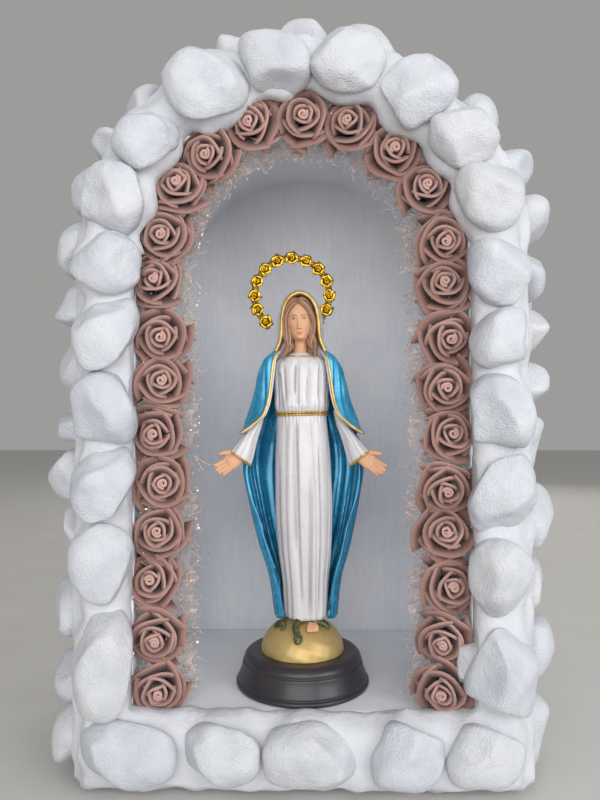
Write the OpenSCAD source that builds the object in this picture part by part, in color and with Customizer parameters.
/* [Niche] */
// Clear half-width of the niche, which is also the radius of its round arch
niche_r = 77; // [64:1:92]
// Height from the niche floor up to where the arch springs
spring_h = 208; // [165:1:250]
// Depth from the shell's front edge to the back panel
niche_d = 114; // [100:1:140]

/* [Shell] */
// Thickness of the side walls and of the arched vault
wall_t = 20; // [16:1:26]
// Thickness of the back panel
back_t = 8; // [5:1:12]
// Height of the block under the niche
base_h = 31.5; // [28:0.5:40]
// Thickness of the painted slab that is the niche floor
floor_t = 2; // [1:0.5:4]
// Thickness of the felt under the base
felt_t = 2; // [1:0.5:4]
// How far the felt stays back from the edges of the base
felt_inset = 3; // [1:1:8]
// Thickness of the white plaster that the stones are bedded in
coat_t = 3; // [2:0.5:5]

/* [Stones] */
// Air left between a stone and its bed
stone_seat = 0.3; // [0.1:0.1:0.5]
// Narrowest joint between two stones of a course
stone_joint = 1.6; // [1.2:0.1:3]
// How far the front stones stand out of the plaster
rim_proud = 18; // [12:1:24]
// How far the stones on the outside stand out of the plaster
side_proud = 25; // [14:1:28]
// Number of courses of stones from front to back on the outside
side_rows = 3; // [3:1:3]
// Width of the band of front stones
rim_band = 24; // [20:1:28]

/* [Flowers and net] */
// Foam roses on each leg of the arch, from the floor to next to the crown
roses_per_side = 13; // [10:1:15]
// Width of a rose across the arch
rose_w = 25.4; // [20:0.2:28]
// Depth of a rose from its face to its back
rose_d = 15; // [10:1:20]
// How far the faces of the roses stand out in front of the plaster
rose_proud = 2; // [0:0.5:4]
// Gap round each soft piece
soft_gap = 0.3; // [0.1:0.1:0.6]
// Width of the gathered net, measured from the wall inwards
net_w = 27; // [20:1:34]
// Thickness of the gathered net
net_t = 4; // [2:0.5:8]

/* [Statue] */
// Distance from the front of the plaster back to the middle of the statue
statue_back = 39; // [37:1:70]
// Height of the round pedestal
pedestal_h = 16; // [12:0.5:20]
// Radius of the pedestal's foot
pedestal_r = 33.6; // [28:0.2:36]
// Radius of the half globe where it meets the pedestal
globe_r = 21; // [18:0.5:24]
// Height of the half globe
globe_h = 16.5; // [14:0.5:20]
// Height of the figure from hem to the top of the veil
figure_h = 167; // [150:1:185]
// Radius of the halo, to the middle of its flowers
halo_r = 19.8; // [18:0.2:22]
// Width of one of the halo's flowers
halo_bead = 6.4; // [5:0.2:7]
// Gap at which one piece of the statue rests on another
seat_gap = 0.3; // [0.1:0.1:0.5]

/* [Hidden] */
$fn = 72;

// Levels, from the felt's underside up
base_z = felt_t + base_h;
floor_z = base_z + floor_t;
spring_z = floor_z + spring_h;
// Radii, from the niche out
shell_r = niche_r + wall_t;
coat_r = shell_r + coat_t;
// Places along the depth: the front looks along -Y
shell_d = niche_d + back_t;
shell_front = -shell_d / 2;
shell_back = shell_d / 2;
niche_back = shell_back - back_t;
coat_front = shell_front - coat_t;
statue_y = coat_front + statue_back;
// Middle of the band of front stones
rim_r = (niche_r + coat_r) / 2;
// Sides and rings of one stone's faceted solid
stone_sides = 10;
stone_rings = 5;

// Stones of the front rim in order from the left foot over the arch to the right foot:
// length along the rim, width across it, and extra plaster left before the stone
rim_course = [
    [43, 25, 0], [33, 26, 4], [32, 26, 0], [30, 28, 0], [31, 28, 0], [28, 29, 0],
    [29, 28, 0], [26, 26, 0], [33, 34, 6], [30, 26, 0], [31, 27, 0], [29, 30, 2],
    [26, 27, 0], [30, 27, 0], [28, 26, 3], [25, 25, 0], [31, 27, 2], [32, 28, 3],
    [33, 26, 2], [36, 30, 4]
];
// Front stones along the foot of the shrine, from left to right: length, height, lead
kerb_course = [[44, 32, 0], [33, 29, 0], [40, 30, 1], [31, 31, 5], [34, 29, 0]];
// Lengths of the first course of outer stones, from the left foot over to the right foot
outer_course = [
    30, 25, 30, 32, 24, 17, 34, 22, 28, 26, 18, 28, 24, 26, 30, 32, 30, 26, 24, 22,
    26, 24, 22, 30, 33, 28, 30, 38
];

// ---- Small helpers -------------------------------------------------------------------

// Sum of the first n values of a list
function sum(v, n, i = 0) = i >= n ? 0 : v[i] + sum(v, n, i + 1);
// One column of a table
function column(v, c) = [for (row = v) row[c]];
// A value read from [place, value] pairs with smooth passages between them
function eased(pairs, z, i = 0) =
    z <= pairs[0][0] ? pairs[0][1]
    : i >= len(pairs) - 1 ? pairs[len(pairs) - 1][1]
    : z > pairs[i + 1][0] ? eased(pairs, z, i + 1)
    : let (t = (z - pairs[i][0]) / (pairs[i + 1][0] - pairs[i][0]))
      pairs[i][1] + (pairs[i + 1][1] - pairs[i][1]) * t * t * (3 - 2 * t);

// Length of a rim of radius r whose feet stand at height z0
function rim_length(r, z0) = 2 * (spring_z - z0) + PI * r;
// Direction from the middle of the arch out to the place s along that rim, in degrees
function rim_angle(s, r, z0) =
    let (leg = spring_z - z0)
    s < leg ? 180 : s > leg + PI * r ? 0 : 180 - (s - leg) / r * 180 / PI;
// Place at distance s along that rim, as [x, z]
function rim_place(s, r, z0) =
    let (leg = spring_z - z0, a = rim_angle(s, r, z0), over = s - leg - PI * r)
    [r * cos(a), spring_z + r * sin(a) - max(0, leg - s) - max(0, over)];

// ---- Faceted solids ------------------------------------------------------------------

// A share of a half-width, held between -1 and 1
function within(x) = max(-1, min(1, x));
// Points of one stone: u, v and w are its directions, w away from the bed
function stone_points(at, u, v, w, size, seed) =
    let (
        dice = rands(0, 1, 4, seed),
        rise = size[2] / 1.5,
        ring = function (lat, lon)
            let (
                lump = 1.04 + 0.05 * sin(2 * lon + 360 * dice[0])
                    + 0.04 * sin(3 * lon + 360 * dice[1])
                    + 0.04 * sin(lat * 2 + lon + 360 * dice[2]),
                flat = pow(cos(lat), 0.7),
                a = within(lump * flat * cos(lon)) * size[0] / 2,
                b = within(lump * flat * sin(lon)) * size[1] / 2,
                c = rise * sin(lat) * (1 + 0.10 * (dice[3] - 0.5) * cos(lon))
            )
            at + u * a + v * b + w * (max(c, -rise / 2) + rise / 2)
    )
    concat(
        [ring(90, 0)],
        [
            for (i = [1:stone_rings])
                for (k = [0:stone_sides - 1])
                    ring(90 - 180 * i / (stone_rings + 1), 360 * k / stone_sides)
        ],
        [ring(-90, 0)]
    );

// Triangles of one stone, or of any closed shape with two poles
function pole_faces(rings, sides, first) =
    let (last = first + rings * sides + 1)
    concat(
        [for (k = [0:sides - 1]) [first, first + 1 + (k + 1) % sides, first + 1 + k]],
        [
            for (i = [0:rings - 2])
                for (k = [0:sides - 1])
                    let (
                        p = first + 1 + i * sides,
                        q = p + sides,
                        n = (k + 1) % sides
                    )
                    each [[p + k, p + n, q + n], [p + k, q + n, q + k]]
        ],
        [
            for (k = [0:sides - 1])
                let (p = last - sides)
                [p + k, p + (k + 1) % sides, last]
        ]
    );

// Many stones as separate solids; each is [place, u, v, w, size, seed]
module stones(list) {
    count = stone_rings * stone_sides + 2;
    polyhedron(
        points = [for (s = list) each stone_points(s[0], s[1], s[2], s[3], s[4], s[5])],
        faces = [
            for (i = [0:len(list) - 1]) each pole_faces(stone_rings, stone_sides, i * count)
        ]
    );
}

// Triangles between rings of points, lowest ring first, each ring turning anticlockwise
function skin_faces(rings, sides) = [
    for (i = [0:rings - 2])
        for (k = [0:sides - 1])
            let (p = i * sides, q = p + sides, n = (k + 1) % sides)
            each [[p + k, q + k, q + n], [p + k, q + n, p + n]]
];

// A closed skin over such rings, with a flat cap on each end
module loft(rings) {
    sides = len(rings[0]);
    last = (len(rings) - 1) * sides;
    polyhedron(
        points = [for (r = rings) each r],
        faces = concat(
            skin_faces(len(rings), sides),
            [[for (k = [0:sides - 1]) k]],
            [[for (k = [sides - 1:-1:0]) last + k]]
        )
    );
}

// The same over rings that run out and back along a band, with capped band ends
module band_loft(rings) {
    sides = len(rings[0]);
    last = (len(rings) - 1) * sides;
    polyhedron(
        points = [for (r = rings) each r],
        faces = concat(
            skin_faces(len(rings), sides),
            [
                for (k = [0:sides / 2 - 2])
                    let (far = sides - 1 - k)
                    each [
                        [k, k + 1, far - 1], [k, far - 1, far],
                        [last + k, last + far - 1, last + k + 1],
                        [last + k, last + far, last + far - 1]
                    ]
            ]
        )
    );
}

// A tube of changing radius along a path that lies mostly flat in the direction flat
function cross_dir(a, b) = let (c = cross(a, b)) c / norm(c);
function tube_rings(path, radii, flat, sides) = [
    for (i = [0:len(path) - 1])
        let (
            a = path[max(0, i - 1)],
            b = path[min(len(path) - 1, i + 1)],
            side = cross_dir(b - a, flat),
            up = cross_dir(side, b - a)
        )
        [
            for (k = [0:sides - 1])
                path[i] + radii[i] * (side * cos(360 * k / sides) + up * sin(360 * k / sides))
        ]
];

// ---- Shell ---------------------------------------------------------------------------

// Half ring over the springing line, from y0 to y1
module half_ring(r0, r1, y0, y1) {
    translate([0, y1, spring_z])
        rotate([90, 0, 0])
            linear_extrude(y1 - y0)
                difference() {
                    circle(r1);
                    circle(r0);
                    translate([-r1 - 1, -r1 - 1])
                        square([2 * r1 + 2, r1 + 1]);
                }
}

// Block from the corner a to the corner b
module block(a, b) {
    translate(a)
        cube(b - a);
}

module felt_sheet() {
    color([0.06, 0.06, 0.07])
        block(
            [-shell_r + felt_inset, shell_front + felt_inset, 0],
            [shell_r - felt_inset, shell_back - felt_inset, felt_t]
        );
}

module base_block() {
    color([0.90, 0.90, 0.92])
        block([-shell_r, shell_front, felt_t], [shell_r, niche_back, base_z]);
}

module niche_floor() {
    color([0.84, 0.85, 0.88])
        block([-niche_r, shell_front, base_z], [niche_r, niche_back, floor_z]);
}

module wall(side) {
    color([0.88, 0.88, 0.90])
        block(
            [side < 0 ? -shell_r : niche_r, shell_front, base_z],
            [side < 0 ? -niche_r : shell_r, niche_back, spring_z]
        );
}

module arch_vault() {
    color([0.88, 0.88, 0.90])
        half_ring(niche_r, shell_r, shell_front, niche_back);
}

module back_panel() {
    color([0.88, 0.88, 0.90])
        translate([0, shell_back, 0])
            rotate([90, 0, 0])
                linear_extrude(back_t) {
                    translate([-shell_r, felt_t])
                        square([2 * shell_r, spring_z - felt_t]);
                    translate([0, spring_z])
                        circle(shell_r);
                }
}

module plaster_kerb() {
    color([0.93, 0.94, 0.95])
        block([-shell_r, coat_front, felt_t], [shell_r, shell_front, floor_z]);
}

module plaster_front(side) {
    color([0.93, 0.94, 0.95])
        block(
            [side < 0 ? -shell_r : niche_r, coat_front, floor_z],
            [side < 0 ? -niche_r : shell_r, shell_front, spring_z]
        );
}

module plaster_front_arch() {
    color([0.93, 0.94, 0.95])
        half_ring(niche_r, shell_r, coat_front, shell_front);
}

module plaster_side(side) {
    color([0.93, 0.94, 0.95])
        block(
            [side < 0 ? -coat_r : shell_r, coat_front, felt_t],
            [side < 0 ? -shell_r : coat_r, shell_back, spring_z]
        );
}

module plaster_top() {
    color([0.93, 0.94, 0.95])
        half_ring(shell_r, coat_r, coat_front, shell_back);
}

// ---- Stones --------------------------------------------------------------------------

// Feet of the rim course, just above the stones of the kerb
rim_foot = floor_z + 3;
// Middle of stone i of a course
function stone_middle(lengths, leads, i, joint) =
    sum(lengths, i) + sum(leads, i + 1) + lengths[i] / 2 + joint * (i + 0.5);

rim_lengths = column(rim_course, 0);
rim_leads = column(rim_course, 2);
rim_total = rim_length(rim_r, rim_foot);
// One factor keeps the course filled when the arch changes its size
rim_fit = (rim_total - stone_joint * len(rim_course))
    / (sum(rim_lengths, len(rim_lengths)) + sum(rim_leads, len(rim_leads)));
rim_all = [
    for (i = [0:len(rim_course) - 1])
        let (
            s = stone_middle(rim_lengths * rim_fit, rim_leads * rim_fit, i, stone_joint),
            a = rim_angle(s, rim_r, rim_foot),
            p = rim_place(s, rim_r, rim_foot)
        )
        [
            [p[0], coat_front - stone_seat, p[1]], [sin(a), 0, -cos(a)],
            [cos(a), 0, sin(a)], [0, -1, 0],
            [rim_lengths[i] * rim_fit, rim_course[i][1] * rim_band / 24, rim_proud],
            20 + i, s
        ]
];
rim_leg = spring_z - rim_foot;

// The part of a course between two places along it
function stretch(list, s0, s1) = [for (e = list) if (e[6] >= s0 && e[6] < s1) e];

module rim_stones_left() {
    color([0.95, 0.96, 0.98])
        stones(stretch(rim_all, 0, rim_leg));
}

module rim_stones_arch() {
    color([0.95, 0.96, 0.98])
        stones(stretch(rim_all, rim_leg, rim_leg + PI * rim_r));
}

module rim_stones_right() {
    color([0.95, 0.96, 0.98])
        stones(stretch(rim_all, rim_leg + PI * rim_r, rim_total));
}

kerb_lengths = column(kerb_course, 0);
kerb_leads = column(kerb_course, 2);
kerb_fit = (2 * coat_r - 4 - stone_joint * len(kerb_course))
    / (sum(kerb_lengths, len(kerb_lengths)) + sum(kerb_leads, len(kerb_leads)));

module kerb_stones() {
    middle_z = felt_t + (floor_z - felt_t) / 2 + 1.5;
    color([0.95, 0.96, 0.98])
        stones([
            for (i = [0:len(kerb_course) - 1])
                let (s = stone_middle(kerb_lengths * kerb_fit, kerb_leads * kerb_fit, i, stone_joint))
                [
                    [s - coat_r + 2, coat_front - stone_seat, middle_z], [1, 0, 0], [0, 0, 1],
                    [0, -1, 0], [kerb_lengths[i] * kerb_fit, kerb_course[i][1], rim_proud],
                    60 + i
                ]
        ]);
}

// Outer courses: the first is laid by hand, the others vary their lengths by seed
outer_foot = felt_t + 1;
outer_total = rim_length(coat_r + side_proud / 3, outer_foot);
row_d = (shell_back - coat_front) / side_rows;
function outer_lengths(row) = row == 0 ? outer_course : rands(23, 36, 28, 300 + row);
outer_all = [
    for (row = [0:side_rows - 1])
        let (
            raw = outer_lengths(row),
            n = len(raw),
            fit = (outer_total - stone_joint * n) / sum(raw, n),
            dice = rands(-1, 1, 2 * n, 400 + row)
        )
        for (i = [0:n - 1])
            let (
                s = stone_middle(raw * fit, raw * 0, i, stone_joint),
                a = rim_angle(s, coat_r + side_proud / 3, outer_foot),
                p = rim_place(s, coat_r + side_proud / 3, outer_foot),
                bed = coat_r + stone_seat - (coat_r + side_proud / 3)
            )
            [
                [p[0] + bed * cos(a), coat_front + row_d * (row + 0.5) + 0.4, p[1] + bed * sin(a)],
                [sin(a), 0, -cos(a)], [0, 1, 0], [cos(a), 0, sin(a)],
                [
                    raw[i] * fit, row_d - stone_joint - 2 - 2 * abs(dice[i]),
                    side_proud * (0.86 + 0.12 * dice[n + i])
                ],
                500 + 40 * row + i, s
            ]
];
outer_leg = spring_z - outer_foot;
outer_bend = PI * (coat_r + side_proud / 3);

module side_stones_left() {
    color([0.95, 0.96, 0.98])
        stones(stretch(outer_all, 0, outer_leg));
}

module side_stones_right() {
    color([0.95, 0.96, 0.98])
        stones(stretch(outer_all, outer_leg + outer_bend, outer_total));
}

module top_stones() {
    color([0.95, 0.96, 0.98])
        stones(stretch(outer_all, outer_leg, outer_leg + outer_bend));
}

// ---- Roses and net -------------------------------------------------------------------

rose_r = niche_r - soft_gap - rose_w / 2;
rose_half = spring_z - floor_z + PI / 2 * rose_r;
// The pitch leaves half a rose on the floor and a whole one at the crown
rose_pitch = rose_half / (roses_per_side + 0.5);
rose_l = rose_pitch - soft_gap;
rose_back = coat_front - rose_proud + rose_d;
rose_count = 2 * roses_per_side + 1;

// Roses number i0 to i1, counted from the left foot over the arch
module roses(i0, i1) {
    color([0.66, 0.45, 0.42])
        stones([
            for (i = [i0:i1])
                let (
                    s = rose_pitch * (i + 0.5) + soft_gap,
                    a = rim_angle(s, rose_r, floor_z),
                    p = rim_place(s, rose_r, floor_z)
                )
                [
                    [p[0], rose_back, p[1]], [sin(a), 0, -cos(a)], [cos(a), 0, sin(a)],
                    [0, -1, 0], [rose_l, rose_w, rose_d], 700 + i
                ]
        ]);
}

// Roses whose middle lies on a straight leg
rose_leg = floor(spring_h / rose_pitch + 0.5);

// Depth at which the gathered net lies, just behind the roses
net_front = rose_back + soft_gap;

module net_side(side) {
    x0 = niche_r - soft_gap - net_w;
    x1 = niche_r - soft_gap;
    color([0.80, 0.66, 0.62])
        block(
            [side < 0 ? -x1 : x0, net_front, floor_z + soft_gap],
            [side < 0 ? -x0 : x1, net_front + net_t, spring_z]
        );
}

module net_arch() {
    color([0.80, 0.66, 0.62])
        half_ring(niche_r - soft_gap - net_w, niche_r - soft_gap, net_front, net_front + net_t);
}

// ---- Statue --------------------------------------------------------------------------

globe_z = floor_z + pedestal_h;
hem_z = globe_z + globe_h + seat_gap;
// Size of the figure against its drawn height of 167
figure_k = figure_h / 167;

// Puts a child that is drawn about the figure's axis, with its hem at 0, in its place
module figure() {
    translate([0, statue_y, hem_z])
        scale(figure_k)
            children();
}

module pedestal() {
    color([0.16, 0.15, 0.17])
        translate([0, statue_y, floor_z])
            rotate_extrude()
                polygon([
                    [0, 0], [pedestal_r, 0], [pedestal_r, 2.5], [pedestal_r - 0.8, 4],
                    [pedestal_r - 0.8, 6.5], [pedestal_r - 2.2, 8], [pedestal_r - 3.2, 8.6],
                    [pedestal_r - 3.2, 10.4], [pedestal_r - 3.8, 11.2],
                    [pedestal_r - 3.8, pedestal_h - 2.6], [pedestal_r - 4.4, pedestal_h - 1],
                    [pedestal_r - 5.7, pedestal_h], [0, pedestal_h]
                ]);
}

// Radius of the sphere that the half globe is cut from
globe_ball = (globe_r * globe_r + globe_h * globe_h) / (2 * globe_h);
globe_angle = asin(globe_r / globe_ball);

module globe() {
    color([0.80, 0.63, 0.33])
        translate([0, statue_y, globe_z])
            rotate_extrude()
                polygon(concat(
                    [[0, 0]],
                    [
                        for (i = [0:12])
                            let (a = globe_angle * (1 - i / 12))
                            [globe_ball * sin(a), globe_ball * (cos(a) - cos(globe_angle))]
                    ]
                ));
}

// A place over the globe: its direction round the axis, its distance from the axis where it
// touches the globe, and how far it is lifted off the surface there
function globe_place(turn, d, lift) =
    let (lean = asin(d / globe_ball), r = globe_ball + lift)
    [
        r * sin(lean) * cos(turn),
        statue_y + r * sin(lean) * sin(turn),
        globe_z + r * cos(lean) - globe_ball * cos(globe_angle)
    ];

// A limb that lies on the globe, through [direction, distance, radius] stations
module on_globe(stations, sides) {
    loft(tube_rings(
        [for (s = stations) globe_place(s[0], s[1], s[2] + seat_gap)],
        [for (s = stations) s[2]], [0, 0, 1], sides
    ));
}

// The snake comes over the right of the globe, hangs its head down the front and curls its
// tail on the left
module snake() {
    color([0.30, 0.36, 0.16]) {
        on_globe([[52, 18.6, 0.7], [26, 18.4, 1.2], [2, 17.6, 1.5], [-18, 16, 1.7], [-36, 13.6, 1.4]], 8);
        on_globe([[-93, 11.6, 1.2], [-97, 13.4, 1.5], [-101, 15.6, 1.9], [-104, 17.6, 1.7],
            [-105, 19, 0.7]], 8);
        on_globe([[-138, 17.4, 0.6], [-143, 15.6, 1.3], [-156, 14.8, 1.5], [-168, 16.4, 0.8]], 8);
    }
}

// An oval ring of points at height z, with pleats that grow towards the hem
function oval(z, rx, ry, x0, y0, pleat, pleats, sides) = [
    for (k = [0:sides - 1])
        let (a = 360 * k / sides, r = 1 + pleat * cos(pleats * a))
        [x0 + rx * r * cos(a), y0 + ry * r * sin(a), z]
];

gown_width = [[0, 11.7], [15, 11], [36, 13], [57, 14.2], [97, 12.4], [101, 12.1], [106, 12.6],
    [118, 13.4], [127, 11.5], [131, 6.2], [134, 4.6]];
gown_depth = [[0, 9.6], [36, 9.5], [97, 9], [101, 8.8], [118, 9.4], [127, 7.2], [134, 4.4]];

module gown() {
    color([0.93, 0.92, 0.91])
        figure()
            loft([
                for (z = [0, 8, 22, 36, 50, 64, 80, 96.5, 101, 105.5, 112, 119, 125, 129, 132, 134])
                    oval(z, eased(gown_width, z), eased(gown_depth, z), 0, -0.5,
                        0.035 * (1 - z / 150), 9, 30)
            ]);
}

module belt() {
    color([0.80, 0.62, 0.30])
        figure()
            difference() {
                loft([
                    for (z = [99.6, 100.2, 102.2, 102.8])
                        let (fat = z == 99.6 || z == 102.8 ? 0.9 : 1.4)
                        oval(z, eased(gown_width, z) + fat, eased(gown_depth, z) + fat, 0, -0.5, 0, 1, 24)
                ]);
                loft([
                    for (z = [98, 105])
                        oval(z, 12.1 + 0.55, 8.8 + 0.55, 0, -0.5, 0, 1, 24)
                ]);
            }
}

// Half-width, half-depth and opening of the cloak at heights above the hem
cloak_width = [[0, 15.4], [18, 17.6], [37, 23], [60, 28], [76, 30.6], [93, 29], [112, 23.5],
    [126, 19], [133, 12.5]];
cloak_depth = [[0, 13], [37, 14], [76, 14.5], [112, 13.4], [126, 12.4], [133, 10]];
cloak_open = [[0, 52], [37, 60], [76, 74], [92, 66], [102, 42], [112, 35], [133, 36]];

// A ring that goes round the back from one front edge to the other and back inside
function mantle(z, rx, ry, t, y0, open, sides) = concat(
    [
        for (k = [0:sides])
            let (a = -90 + open + (360 - 2 * open) * k / sides)
            [rx * cos(a), y0 + ry * sin(a), z]
    ],
    [
        for (k = [sides:-1:0])
            let (a = -90 + open + (360 - 2 * open) * k / sides)
            [(rx - t) * cos(a), y0 + (ry - t) * sin(a), z]
    ]
);

module cloak() {
    color([0.10, 0.38, 0.55])
        figure()
            band_loft([
                for (z = [0, 9, 18, 28, 37, 50, 63, 76, 85, 93, 103, 112, 120, 126.5])
                    mantle(z, eased(cloak_width, z), eased(cloak_depth, z), 2.2, 2,
                        eased(cloak_open, z), 22)
            ]);
}

veil_width = [[128, 13.6], [140, 13], [144, 12.6], [150, 11.2], [156, 10.2], [161, 8.6],
    [165, 5.4], [167, 1.6]];
veil_depth = [[128, 9.5], [144, 10], [156, 10.2], [161, 8.8], [165, 5.6], [167, 1.6]];

module veil() {
    color([0.93, 0.92, 0.91])
        figure()
            difference() {
                loft([
                    for (z = [127, 133, 139, 145, 150, 155, 159, 162, 164.5, 166.2, 167])
                        oval(z, eased(veil_width, z), eased(veil_depth, z), 0, 1.5, 0, 1, 24)
                ]);
                loft([
                    for (z = [120, 133, 139, 145, 150, 155, 159, 162, 164.6])
                        oval(z, eased(veil_width, z) - 1.5, eased(veil_depth, z) + 2.4, 0, -2.6, 0, 1, 24)
                ]);
            }
}

head_width = [[134, 3.9], [137, 3.9], [139.4, 4.2], [141, 5.4], [145, 6.6], [151, 7.1],
    [156, 6.6], [160, 4.8], [162.4, 1.2]];
head_depth = [[134, 3.8], [139.4, 4.4], [142, 6.6], [151, 8], [156, 7.6], [160, 5.4], [162.4, 1.2]];

module head() {
    color([0.87, 0.66, 0.50])
        figure()
            loft([
                for (z = [134.3, 137, 139.4, 141, 143, 146, 149, 152, 155, 158, 160.5, 162, 162.6])
                    oval(z, eased(head_width, z) * 0.86, eased(head_depth, z) * 0.8, 0, -1.4, 0, 1, 20)
            ]);
}

module hair() {
    color([0.50, 0.31, 0.19])
        figure()
            band_loft([
                for (z = [134.5, 138, 142, 146, 150, 154, 158, 160.4])
                    mantle(z, eased(head_width, max(z, 144)) * 0.86 + 2.5 - (z > 158 ? 0.8 : 0),
                        eased(head_depth, max(z, 144)) * 0.8 + 1.2, 1.1, -1.2,
                        48, 16)
            ]);
}

// Arms slope down and outward from the elbow; side is -1 for the one on the left
arm_elbow = [14.6, -5, 99];
arm_wrist = [30.5, -12, 81.5];
sleeve_mid = [23.5, -9, 90.5];

module sleeve(side) {
    color([0.93, 0.92, 0.91])
        figure()
            mirror([side < 0 ? 1 : 0, 0, 0])
                loft(tube_rings([arm_elbow, sleeve_mid, arm_wrist + [-1, 0.2, 1]],
                    [3.2, 3.8, 4.4], [0, 1, 0], 14));
}

module hand(side) {
    color([0.88, 0.67, 0.50])
        figure()
            mirror([side < 0 ? 1 : 0, 0, 0])
                loft(tube_rings([
                    arm_wrist + [0, 0, 0.6], arm_wrist + [2.5, -0.8, -1.6],
                    arm_wrist + [6, -2, -4], arm_wrist + [9.5, -3.4, -6.6],
                    arm_wrist + [12.5, -4.6, -8.8]
                ], [2.2, 2.6, 3.2, 2.5, 0.9], [0, 1, 0], 10));
}

// The toes show under the hem, resting on the globe
module toe() {
    color([0.88, 0.67, 0.50])
        on_globe([[-68, 11.6, 1.6], [-69, 13, 1.9], [-70, 14.6, 1.5], [-70, 15.8, 0.6]], 10);
}

// The halo is a ring of small flowers, open at the foot, behind the veil
halo_gap = 66;
halo_flowers = 13;
halo_steps = 6;

module halo() {
    at_z = 163.7;
    y0 = 12.25;
    n = halo_flowers * halo_steps;
    path = [
        for (i = [0:n])
            let (a = -90 + halo_gap / 2 + (360 - halo_gap) * i / n)
            [halo_r * cos(a) - 4, y0, at_z + halo_r * sin(a)]
    ];
    radii = [
        for (i = [0:n])
            let (t = abs(sin(180 * i / halo_steps)))
            halo_bead * (0.14 + 0.36 * sqrt(t))
    ];
    color([0.78, 0.55, 0.12])
        figure()
            loft(tube_rings(path, radii, [0, 1, 0], 8));
}

felt_sheet();
base_block();
niche_floor();
wall(-1);  // left_wall
wall(1);  // right_wall
arch_vault();
back_panel();
plaster_kerb();
plaster_front(-1);  // plaster_front_left
plaster_front(1);  // plaster_front_right
plaster_front_arch();
plaster_side(-1);  // plaster_side_left
plaster_side(1);  // plaster_side_right
plaster_top();
kerb_stones();
rim_stones_left();
rim_stones_right();
rim_stones_arch();
side_stones_left();
side_stones_right();
top_stones();
roses(0, rose_leg - 1);  // roses_left
roses(rose_count - rose_leg, rose_count - 1);  // roses_right
roses(rose_leg, rose_count - rose_leg - 1);  // roses_arch
net_side(-1);  // net_left
net_side(1);  // net_right
net_arch();
pedestal();
globe();
snake();
gown();
belt();
cloak();
veil();
head();
hair();
sleeve(-1);  // left_sleeve
sleeve(1);  // right_sleeve
hand(-1);  // left_hand
hand(1);  // right_hand
toe();
halo();
